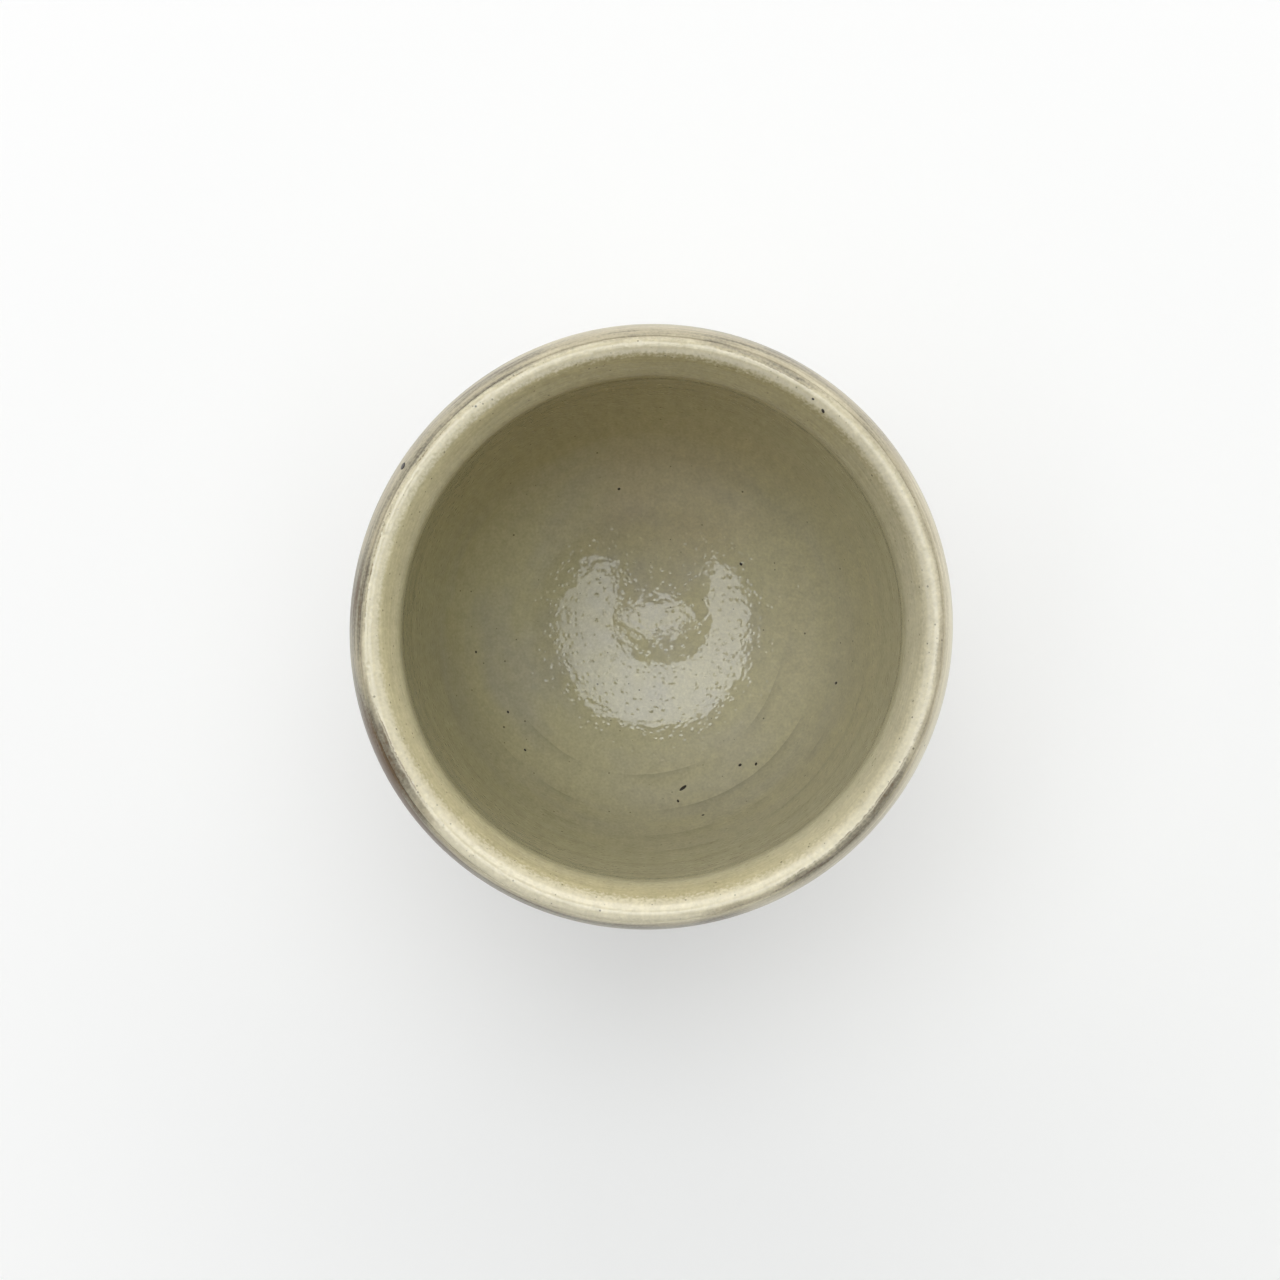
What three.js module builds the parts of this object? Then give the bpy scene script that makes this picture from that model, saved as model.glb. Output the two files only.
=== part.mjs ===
// Yunomi: a hand-thrown stoneware teacup with no handle, slipped and glazed inside and out.
// Millimetres, +Z up. The origin is on the table, at the centre of the foot ring.
import * as THREE from 'three';

// Thrown body, bare clay
const clayHeight = 85.2; // table to the crest of the lip
const mouthRadius = 37; // circle of the lip's crest
const lipInReach = 2.4; // how far the lip rolls in from its crest to the throat
const throatDepth = 7.5; // crest down to the throat, the narrowest place inside
const lipOutReach = 2.4; // how far the lip swells out from its crest to the shoulder
const lipOutDepth = 5; // crest down to where the lip runs into the shoulder
const shoulderDrop = 10; // crest down to where the shoulder stands upright
const bellyRadius = 40.2; // widest part of the outside
const bellyDrop = 27.2; // crest down to the widest part
const wallThickness = 3.4; // wall at the belly
const floorThickness = 5.1; // floor at the centre
const floorDishRadius = 56.8; // hollow of the inside floor
const floorEdgeRadius = 27.9; // where the floor turns up into the wall
const baseLedge = 1; // how far the base stands out past the foot ring
const heelLift = 2; // rise of the heel as it leaves the base

// Foot ring, luted under the base
const footHeight = 6.5;
const footRadius = 25; // outside, against the base
const footWidth = 6.4; // against the base
const footTaper = 0.8; // how far each side leans in down to the table
const footEdge = 0.8; // rounding beside the face that it stands on

// Coats laid over the clay
const slipThickness = 0.3;
const glazeThickness = 0.5;
const lipLineDepth = 0.3; // crest down to the line outside the lip where the liner glaze ends
const glazeLineHeight = 12; // table up to the lower edge of the coats outside

// Fullness of the curves, as shares of the stretch that each one spans
const bevelFullness = 0.45;
const crestFullness = 0.35;
const lipFullness = 0.7;
const throatFullness = 0.4;
const wallFullness = 0.52;
const heelFullness = 0.78;
const flankFullness = 0.66;
const baseFullness = 0.5;

// Facets round the axis, and along each stretch of the outline
const turnSteps = 40;
const floorSteps = 3;
const wallSteps = 6;
const throatSteps = 4;
const lipSteps = 6;
const shoulderSteps = 3;
const flankSteps = 7;
const edgeSteps = 2;

// A point of an outline, as distance from the axis and height
const at = (radius, height) => new THREE.Vector2(radius, height);

const bend = (steps, ...points) => new THREE.CubicBezierCurve(...points).getPoints(steps);

// Joins stretches of outline end to end, each starting where the last one ends
function chain(first, ...others) {
  return others.reduce((outline, stretch) => outline.concat(stretch.slice(1)), first);
}

// Cuts an outline that runs downwards in two at a height
function cutAtHeight(outline, height) {
  const below = outline.findIndex((point) => point.y < height);
  const upper = outline[below - 1];
  const lower = outline[below];
  const cut = upper.clone().lerp(lower, (upper.y - height) / (upper.y - lower.y));
  return [[...outline.slice(0, below), cut], [cut, ...outline.slice(below)]];
}

// The face of a coat: an outline that starts on the axis, moved off square to itself
function coatFace(outline, thickness) {
  return outline.map((point, i) => {
    const before = i > 0 ? outline[i - 1] : at(-outline[1].x, outline[1].y);
    const after = outline[Math.min(i + 1, outline.length - 1)];
    const along = after.clone().sub(before).normalize();
    return at(point.x - along.y * thickness, point.y + along.x * thickness);
  });
}

// The outline of a coat between its two faces, from one line round the cup to another
function coat(under, over, from, to) {
  const outline = [...under.slice(from, to + 1), ...over.slice(from, to + 1).reverse()];
  return from > 0 ? [...outline, outline[0]] : outline;
}

// A solid of revolution standing on +Z, from an outline that keeps its material on the left
function turned(name, outline, material) {
  const geometry = new THREE.LatheGeometry(outline, turnSteps).rotateX(Math.PI / 2);
  const mesh = new THREE.Mesh(geometry, material);
  mesh.name = name;
  return mesh;
}

// Key places on the clay
const crest = at(mouthRadius, clayHeight);
const throat = at(mouthRadius - lipInReach, clayHeight - throatDepth);
const lipEnd = at(mouthRadius + lipOutReach, clayHeight - lipOutDepth);
const shoulder = at(bellyRadius, clayHeight - shoulderDrop);
const belly = at(bellyRadius, clayHeight - bellyDrop);
const innerBelly = at(bellyRadius - wallThickness, belly.y);
const baseEdge = at(footRadius + baseLedge, footHeight);
const floorCentre = at(0, footHeight + floorThickness);

// Inside, from the middle of the floor up to the crest of the lip
const floorTilt = Math.asin(floorEdgeRadius / floorDishRadius);
const dish = Array.from({ length: floorSteps + 1 }, (_, i) => {
  const tilt = (floorTilt * i) / floorSteps;
  return at(floorDishRadius * Math.sin(tilt), floorCentre.y + floorDishRadius * (1 - Math.cos(tilt)));
});
const floorEdge = dish.at(-1);
const heelRun = heelFullness * (innerBelly.x - floorEdge.x);
const wall = bend(
  wallSteps,
  floorEdge,
  at(floorEdge.x + heelRun, floorEdge.y + heelRun * Math.tan(floorTilt)),
  at(innerBelly.x, innerBelly.y - wallFullness * (innerBelly.y - floorEdge.y)),
  innerBelly,
);
const throatRun = throatFullness * (throat.y - innerBelly.y);
const underLip = bend(
  throatSteps,
  innerBelly,
  at(innerBelly.x, innerBelly.y + throatRun),
  at(throat.x, throat.y - throatRun),
  throat,
);
const lipInside = bend(
  lipSteps,
  throat,
  at(throat.x, throat.y + bevelFullness * throatDepth),
  at(crest.x - crestFullness * lipInReach, crest.y),
  crest,
);
const inside = chain(dish, wall, underLip, lipInside);

// Outside, from the crest of the lip down to the edge of the base
const shoulderLean = lipEnd.clone().sub(shoulder).normalize();
const lipOutside = bend(
  lipSteps,
  crest,
  at(crest.x + crestFullness * lipOutReach, crest.y),
  lipEnd.clone().addScaledVector(shoulderLean, (lipOutDepth * lipFullness) / shoulderLean.y),
  lipEnd,
);
const upperWall = new THREE.QuadraticBezierCurve(lipEnd, shoulder, belly).getPoints(shoulderSteps);
const flank = bend(
  flankSteps,
  belly,
  at(belly.x, belly.y - flankFullness * (belly.y - baseEdge.y)),
  at(baseEdge.x + baseFullness * (belly.x - baseEdge.x), baseEdge.y + heelLift),
  baseEdge,
);
const outside = chain(lipOutside, upperWall, flank);
const [overLip, belowLip] = cutAtHeight(outside, clayHeight - lipLineDepth);
const [coatedWall, bareHeel] = cutAtHeight(belowLip, glazeLineHeight);

// The clay's whole surface, and the faces of the coats over it
const clayFace = chain(inside, overLip, coatedWall, bareHeel);
const slipFace = coatFace(clayFace, slipThickness);
const glazeFace = coatFace(clayFace, slipThickness + glazeThickness);
const lipLine = inside.length + overLip.length - 2;
const glazeLine = lipLine + coatedWall.length - 1;

// Foot ring, round its section from the inner edge of its seat
const footInner = footRadius - footWidth;
const standInner = footInner + footTaper + footEdge;
const standOuter = footRadius - footTaper - footEdge;
const roundEdge = (radius, from, to) =>
  new THREE.EllipseCurve(radius, footEdge, footEdge, footEdge, from, to).getPoints(edgeSteps);
const footSection = [
  at(footInner, footHeight),
  ...roundEdge(standInner, Math.PI, 1.5 * Math.PI),
  ...roundEdge(standOuter, 1.5 * Math.PI, 2 * Math.PI),
  at(footRadius, footHeight),
  at(footInner, footHeight),
];

// Finishes
const stoneware = new THREE.MeshStandardMaterial({ color: 0x6f5f52, roughness: 0.85, metalness: 0 });
const slip = new THREE.MeshStandardMaterial({ color: 0xd8d2c0, roughness: 0.7, metalness: 0 });
const linerGlaze = new THREE.MeshStandardMaterial({ color: 0xd0c8aa, roughness: 0.12, metalness: 0 });
const outerGlaze = new THREE.MeshStandardMaterial({ color: 0xb9b4a1, roughness: 0.2, metalness: 0 });

const yunomi = new THREE.Group();
yunomi.add(
  turned('thrown_body', [at(0, footHeight), ...clayFace.toReversed()], stoneware),
  turned('foot_ring', footSection, stoneware),
  turned('inner_slip', coat(clayFace, slipFace, 0, lipLine), slip),
  turned('outer_slip', coat(clayFace, slipFace, lipLine, glazeLine), slip),
  turned('liner_glaze', coat(slipFace, glazeFace, 0, lipLine), linerGlaze),
  turned('outer_glaze', coat(slipFace, glazeFace, lipLine, glazeLine), outerGlaze),
);

export default yunomi;
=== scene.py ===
import math
from functools import partial

import bmesh
import bpy
from bpy.props import FloatProperty, FloatVectorProperty, IntProperty, PointerProperty
from mathutils import Matrix, Vector, noise
from mathutils.bvhtree import BVHTree


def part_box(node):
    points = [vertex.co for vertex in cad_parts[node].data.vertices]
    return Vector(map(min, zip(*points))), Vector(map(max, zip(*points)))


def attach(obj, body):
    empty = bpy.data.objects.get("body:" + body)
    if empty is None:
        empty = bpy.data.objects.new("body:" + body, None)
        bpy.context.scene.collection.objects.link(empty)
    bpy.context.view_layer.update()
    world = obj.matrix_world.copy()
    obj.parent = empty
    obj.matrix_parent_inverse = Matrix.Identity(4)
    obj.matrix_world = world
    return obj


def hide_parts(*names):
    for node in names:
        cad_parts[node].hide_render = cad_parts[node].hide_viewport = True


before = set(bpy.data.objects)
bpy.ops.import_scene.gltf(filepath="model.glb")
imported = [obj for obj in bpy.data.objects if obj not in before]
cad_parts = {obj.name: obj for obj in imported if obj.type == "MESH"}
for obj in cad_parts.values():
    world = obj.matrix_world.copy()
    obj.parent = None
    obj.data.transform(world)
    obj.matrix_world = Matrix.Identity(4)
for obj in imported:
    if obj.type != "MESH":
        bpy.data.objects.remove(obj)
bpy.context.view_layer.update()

bl_info = {
    "name": "Yunomi Teacup",
    "version": (1, 0, 0),
    "blender": (4, 5, 0),
    "location": "3D View > Sidebar > Yunomi",
    "description": "Dresses a hand-thrown stoneware teacup in slip, glaze and bare clay",
    "category": "Object",
}

MM = 0.001
TOUCH = 0.002 * MM

# The photograph: width, middle of the mouth and of the floor in pixels, and a pixel's size at the lip
PHOTO_SIZE = 1280
PHOTO_MOUTH = (651, 627)
PHOTO_FLOOR = (648.6, 629.9)
PIXEL = 0.13 * MM

# How far across the light panels one pixel of their mirror image on the glossy floor reaches
MIRROR_METRES_PER_PIXEL = 0.00615

# Places on the glaze, and the way along the inside from the middle of the floor, out and up to the crest
LINER_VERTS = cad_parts["liner_glaze"].data.vertices
CREST_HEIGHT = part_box("liner_glaze")[1].z
CREST_RADIUS = max(LINER_VERTS, key=lambda v: v.co.z).co.xy.length
FLOOR_HEIGHT = max(v.co.z for v in LINER_VERTS if v.co.xy.length < TOUCH)
CREST_WAY = CREST_RADIUS + CREST_HEIGHT - FLOOR_HEIGHT
BELLY_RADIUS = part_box("outer_glaze")[1].x
GLAZE_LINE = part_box("outer_glaze")[0].z

# Iron specks in both glazes: spacing, radius, share of places filled and strength
GLAZE_SPECKS = ((1.7 * MM, 0.21 * MM, 0.55, 0.7), (6 * MM, 0.33 * MM, 0.4, 0.85))


def srgb(code):
    """A colour written as sRGB hex, in the linear values that shaders take."""
    shares = [(code >> shift & 255) / 255 for shift in (16, 8, 0)]
    return tuple(c / 12.92 if c <= 0.04045 else ((c + 0.055) / 1.055) ** 2.4 for c in shares)


class YunomiShape(bpy.types.PropertyGroup):
    """How far the hand-thrown cup departs from a true turned form."""

    turns: IntProperty(name="Facets", description="Facets round the axis", default=192, min=24)
    out_of_round: FloatProperty(
        name="Out of round", description="How far the mouth is pulled into an oval",
        default=0.26 * MM, unit="LENGTH",
    )
    oval_angle: FloatProperty(
        name="Oval angle", description="Direction of the oval's long axis, from +X",
        default=math.radians(55), subtype="ANGLE",
    )
    lip_wave: FloatProperty(
        name="Lip wave", description="Rise and fall of the lip round the mouth",
        default=0.25 * MM, unit="LENGTH",
    )
    throat_shift: FloatVectorProperty(
        name="Throat shift", description="How far the throat lies off the axis", size=2,
        default=(0.3 * MM, -0.22 * MM), subtype="TRANSLATION", unit="LENGTH",
    )
    crest_shift: FloatVectorProperty(
        name="Crest shift", description="How far the lip's crest lies off the axis", size=2,
        default=(0, -0.35 * MM), subtype="TRANSLATION", unit="LENGTH",
    )
    ring_pitch: FloatProperty(
        name="Throwing pitch", description="Climb of the finger's spiral in one turn of the wheel",
        default=9.4 * MM, unit="LENGTH",
    )
    ring_depth: FloatProperty(
        name="Throwing depth", description="Depth of the finger's spiral inside",
        default=0.06 * MM, unit="LENGTH",
    )
    outer_ring_depth: FloatProperty(
        name="Outer throwing depth", description="Depth of the finger's spiral outside",
        default=0.14 * MM, unit="LENGTH",
    )
    glaze_line_wave: FloatProperty(
        name="Glaze line wave", description="Rise and fall of the lower edge of the coats",
        default=1.1 * MM, unit="LENGTH",
    )


class YunomiFinish(bpy.types.PropertyGroup):
    """Colours of the clay and of the coats over it."""

    cream: FloatVectorProperty(
        name="Cream", description="Slip under glaze on the lip", subtype="COLOR", default=srgb(0xCDC49E),
    )
    olive: FloatVectorProperty(
        name="Olive", description="Where the glaze lies thickest", subtype="COLOR", default=srgb(0xCBC59D),
    )
    # Pale cream: the thickest slip outside; on the crest it also carries painted light
    pale_cream: FloatVectorProperty(
        name="Pale cream", description="The thickest slip, on the crest and outside", subtype="COLOR",
        default=srgb(0xDCD4B8),
    )
    # Khaki: painted shade on the far and near sides of the lip's bevel
    khaki_shade: FloatVectorProperty(
        name="Khaki", description="Thicker glaze on the bevel of the lip", subtype="COLOR",
        default=srgb(0xACA077),
    )
    # Brown olive: painted shade on the far wall
    far_wall_shade_olive: FloatVectorProperty(
        name="Brown olive", description="Glaze on the far wall", subtype="COLOR", default=srgb(0xBDAF81),
    )
    ash_grey: FloatVectorProperty(
        name="Ash grey", description="Where the slip lies thinner", subtype="COLOR", default=srgb(0xBDB9A6),
    )
    blush: FloatVectorProperty(
        name="Blush", description="Warm patches of the glaze", subtype="COLOR", default=srgb(0xCDBC9A),
    )
    blue_grey: FloatVectorProperty(
        name="Blue-grey", description="A thin brush stroke of slip over dark clay", subtype="COLOR",
        default=srgb(0x8C8673),
    )
    mauve_grey: FloatVectorProperty(
        name="Mauve-grey", description="One brushed coat of slip outside", subtype="COLOR",
        default=srgb(0xB4AA8F),
    )
    iron_brown: FloatVectorProperty(
        name="Iron brown", description="Clay that shows through the glaze", subtype="COLOR",
        default=srgb(0x654F32),
    )
    speck: FloatVectorProperty(
        name="Iron speck", description="Iron grains that melt through the glaze", subtype="COLOR",
        default=srgb(0x2E2720),
    )
    clay: FloatVectorProperty(
        name="Bare clay", description="Fired stoneware", subtype="COLOR", default=srgb(0x87705B),
    )
    clay_dark: FloatVectorProperty(
        name="Dark clay", description="Darker patches of the fired clay", subtype="COLOR",
        default=srgb(0x5E4D40),
    )
    slip: FloatVectorProperty(
        name="Slip", description="Pale slip before it is glazed", subtype="COLOR", default=srgb(0xD8D2C0),
    )


class YunomiStage(bpy.types.PropertyGroup):
    """Camera, light and floor."""

    camera_distance: FloatProperty(
        name="Camera distance", description="From the lip up to the lens", default=0.26, unit="LENGTH",
    )
    panel_height: FloatProperty(
        name="Panel height", description="From the floor up to the overhead panels",
        default=1.1, unit="LENGTH",
    )
    panel_light: FloatProperty(
        name="Panel light", description="Brightness of the overhead panels", default=3.23,
    )
    window_light: FloatProperty(
        name="Window light", description="Brightness of the wide panel at the far side", default=1.4,
    )
    window_width: FloatProperty(
        name="Window width", description="Width of the wide panel", default=2.2, unit="LENGTH",
    )
    window_height: FloatProperty(
        name="Window height", description="Height of the wide panel", default=1, unit="LENGTH",
    )
    window_place: FloatVectorProperty(
        name="Window place", description="Middle of the wide panel",
        default=(0.1, 1.2, 0.85), subtype="TRANSLATION", unit="LENGTH",
    )
    window_aim: FloatVectorProperty(
        name="Window aim", description="Where the wide panel faces",
        default=(0, 0, 0.4), subtype="TRANSLATION", unit="LENGTH",
    )
    room_light: FloatProperty(
        name="Room light", description="Light from the brightest part of the room, low at the far side",
        default=1.08,
    )
    room_shade: FloatProperty(
        name="Room shade", description="Light from the dullest part of the room, high at the near side",
        default=0.44,
    )
    panel_colour: FloatVectorProperty(
        name="Panel colour", description="Cool daylight", subtype="COLOR", default=(0.92, 0.95, 1),
    )
    window_colour: FloatVectorProperty(
        name="Window colour", description="Warmer daylight", subtype="COLOR", default=(1, 0.985, 0.95),
    )
    floor_size: FloatProperty(name="Floor", description="Width of the floor", default=8, unit="LENGTH")
    floor_colour: FloatVectorProperty(
        name="Floor colour", description="Pale floor", subtype="COLOR", default=srgb(0xFAFAF7),
    )
    floor_lift: FloatProperty(
        name="Floor lift", description="Share of plain white in the floor as it is seen near the cup",
        default=0.2, subtype="FACTOR", min=0, max=1,
    )


def add_node(tree, kind, inputs=None, **settings):
    """Adds a node with its settings. An input is a value to set or another node's output to link."""
    made = tree.nodes.new(kind)
    for name, value in settings.items():
        setattr(made, name, value)
    for socket, value in (inputs or {}).items():
        if isinstance(value, bpy.types.NodeSocket):
            tree.links.new(value, made.inputs[socket])
        else:
            made.inputs[socket].default_value = value
    return made


def new_material(name):
    """An empty material: itself, what adds a node to it, what links two sockets in it, and its shader."""
    material = bpy.data.materials.new(name)
    material.use_nodes = True
    tree = material.node_tree
    return material, partial(add_node, tree), tree.links.new, tree.nodes["Principled BSDF"].inputs


def outline(node, cuts, passes):
    """A wire along the section of a turned CAD node, on its +X side, with its facets smoothed away.

    Level stretches stay as they are, and square corners end slightly rounded.
    """
    wire = bmesh.new()
    wire.from_mesh(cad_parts[node].data)
    bmesh.ops.remove_doubles(wire, verts=wire.verts, dist=TOUCH)
    off_plane = [v for v in wire.verts if abs(v.co.y) > TOUCH]
    bmesh.ops.delete(wire, geom=off_plane, context="VERTS")
    corners = set()
    for vert in wire.verts:
        arms = [(edge.other_vert(vert).co - vert.co).normalized() for edge in vert.link_edges]
        if arms[0].dot(arms[1]) > math.cos(math.radians(120)):
            corners.add(vert)
    bmesh.ops.subdivide_edges(wire, edges=wire.edges, cuts=cuts)
    level = {v for e in wire.edges if abs(e.verts[0].co.z - e.verts[1].co.z) < TOUCH for v in e.verts}
    curved = [v for v in wire.verts if v not in level and v not in corners]
    for _ in range(passes):
        bmesh.ops.smooth_vert(wire, verts=curved, factor=0.5, use_axis_x=True, use_axis_z=True)
    rounded = [v for v in wire.verts if v not in level]
    for _ in range(3):
        bmesh.ops.smooth_vert(wire, verts=rounded, factor=0.5, use_axis_x=True, use_axis_z=True)
    left = [v for v in wire.verts if v.co.x < -TOUCH]
    bmesh.ops.delete(wire, geom=left, context="VERTS")
    return wire


def spin_round(wire, turns):
    """Turns an outline into a closed shell round the Z axis."""
    bmesh.ops.spin(
        wire, geom=wire.verts[:] + wire.edges[:], axis=(0, 0, 1), cent=(0, 0, 0),
        angle=math.tau, steps=turns, use_merge=True,
    )
    bmesh.ops.remove_doubles(wire, verts=wire.verts, dist=TOUCH)
    bmesh.ops.recalc_face_normals(wire, faces=wire.faces)
    wire.normal_update()


def share_between(value, start, end):
    """How far a value has come from a start to an end, as a share kept between 0 and 1."""
    return min(max((value - start) / (end - start), 0), 1)


def pull_by_hand(shell, shape):
    """Pulls the turned shell out of round, moves throat and crest off the axis, and waves the lip."""
    for vert in shell.verts:
        x, y, z = vert.co
        radius = vert.co.xy.length
        rise = max(z / CREST_HEIGHT, 0) ** 2
        angle = math.atan2(y, x)
        oval = math.cos(2 * (angle - shape.oval_angle)) + 0.35 * math.cos(3 * angle + 0.8)
        in_throat = share_between(z, CREST_HEIGHT - 41 * MM, CREST_HEIGHT - 8 * MM)
        in_throat *= share_between(radius, CREST_RADIUS + 1.67 * MM, CREST_RADIUS - 2.83 * MM)
        on_crest = share_between(z, CREST_HEIGHT - 10 * MM, CREST_HEIGHT - 4 * MM)
        on_crest *= share_between(radius, CREST_RADIUS - 2.23 * MM, CREST_RADIUS - 0.23 * MM)
        on_crest *= share_between(radius, CREST_RADIUS + 3.17 * MM, CREST_RADIUS + 0.77 * MM)
        vert.co.xy *= 1 + rise * oval * shape.out_of_round / BELLY_RADIUS
        vert.co.xy += Vector(shape.throat_shift) * in_throat + Vector(shape.crest_shift) * on_crest
        vert.co.z += rise ** 3 * shape.lip_wave * (0.6 * math.sin(angle + 1.1) + 0.4 * math.sin(2 * angle))


def finish_piece(shell, name, material, node=None):
    """Makes an object of a finished shell that rides on the cup, in place of a CAD node if one is given."""
    mesh = bpy.data.meshes.new(name)
    shell.to_mesh(mesh)
    shell.free()
    mesh.shade_smooth()
    mesh.materials.append(material)
    piece = bpy.data.objects.new(name, mesh)
    bpy.context.scene.collection.objects.link(piece)
    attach(piece, "root")
    if node:
        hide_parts(node)


def press_rings_inside(shell, shape):
    """Presses the finger's spiral into the face that looks into the cup, from the heel up to the throat."""
    eye = Vector((0, 0, 2 * CREST_HEIGHT))
    heel_start = 17 * MM
    heel_full = 30 * MM
    throat_full = 88 * MM
    throat_end = 100 * MM
    for vert in shell.verts:
        if (eye - vert.co).dot(vert.normal) < 0:
            continue
        way = vert.co.xy.length + vert.co.z - FLOOR_HEIGHT
        strength = share_between(way, heel_start, heel_full) * share_between(way, throat_end, throat_full)
        phase = math.tau * way / shape.ring_pitch + math.atan2(vert.co.y, vert.co.x)
        uneven = noise.noise(vert.co / (25 * MM)) * 0.5 + 0.75
        ring = 0.6 * math.sin(phase) + 0.4 * math.sin(2 * phase + 0.7)
        vert.co += vert.normal * shape.ring_depth * 0.5 * ring * strength * uneven


def press_rings_outside(shell, shape):
    """Presses the finger's spiral into the outer face, below the lip."""
    lip_end = CREST_HEIGHT - 3 * MM
    full_below = CREST_HEIGHT - 15 * MM
    for vert in shell.verts:
        x, y, z = vert.co
        if x * vert.normal.x + y * vert.normal.y < 0:
            continue
        strength = share_between(z, lip_end, full_below)
        phase = math.tau * z / shape.ring_pitch - math.atan2(y, x)
        uneven = noise.noise(vert.co / (28 * MM)) * 0.5 + 0.7
        ring = 0.65 * math.sin(phase) + 0.35 * math.sin(2 * phase + 1.9)
        vert.co += vert.normal * shape.outer_ring_depth * 0.5 * ring * strength * uneven


def wander_edge(shell, shape):
    """Slides the lower edge of a coat up and down the flank, as poured glaze and brushed slip end."""
    reach = 14 * MM
    lean = 0.5
    for vert in shell.verts:
        near = share_between(vert.co.z, GLAZE_LINE + reach, GLAZE_LINE) ** 2
        angle = math.atan2(vert.co.y, vert.co.x)
        wave = 0.55 * math.sin(2 * angle + 0.4) + 0.3 * math.sin(3 * angle + 2) + 0.25 * math.sin(7 * angle)
        slide = wave * shape.glaze_line_wave * near
        vert.co.z += slide
        vert.co.xy *= 1 + lean * slide / vert.co.xy.length


def add_toward(add, heading, direction, reach, amount):
    """An amount that is full in one direction from the axis and nothing past a reach, both in degrees."""
    angle = math.radians(direction)
    toward = (math.cos(angle), math.sin(angle), 0)
    near = add("ShaderNodeVectorMath", {0: heading, 1: toward}, operation="DOT_PRODUCT").outputs["Value"]
    return add("ShaderNodeMapRange", {
        "Value": near, "From Min": math.cos(math.radians(reach)), "From Max": 1, "To Max": amount,
    }).outputs[0]


def add_iron_specks(add, place, tone, finish, grains):
    """Lays iron specks over a tone.

    Each kind of grain has a spacing, a radius, the share of places that it fills and its strength.
    """
    for spacing, grain, share, strength in grains:
        cells = add("ShaderNodeTexVoronoi", {"Vector": place, "Scale": 1 / spacing}).outputs
        chance = add("ShaderNodeSeparateXYZ", {0: cells["Color"]}).outputs["X"]
        size = add("ShaderNodeMapRange", {
            "Value": chance, "From Max": share, "To Min": grain / spacing, "To Max": 0.3 * grain / spacing,
        }).outputs[0]
        filled = add("ShaderNodeMath", {0: chance, 1: share}, operation="LESS_THAN").outputs[0]
        reach = add("ShaderNodeMath", {0: size, 1: filled}, operation="MULTIPLY").outputs[0]
        depth = add("ShaderNodeMath", {0: reach, 1: cells["Distance"]}, operation="SUBTRACT").outputs[0]
        inside = add("ShaderNodeMapRange", {
            "Value": depth, "From Max": 0.4 * grain / spacing, "To Max": strength,
        }).outputs[0]
        tone = add("ShaderNodeMix", {0: inside, 6: tone, 7: (*finish.speck, 1)}, data_type="RGBA").outputs[2]
    return tone


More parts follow.
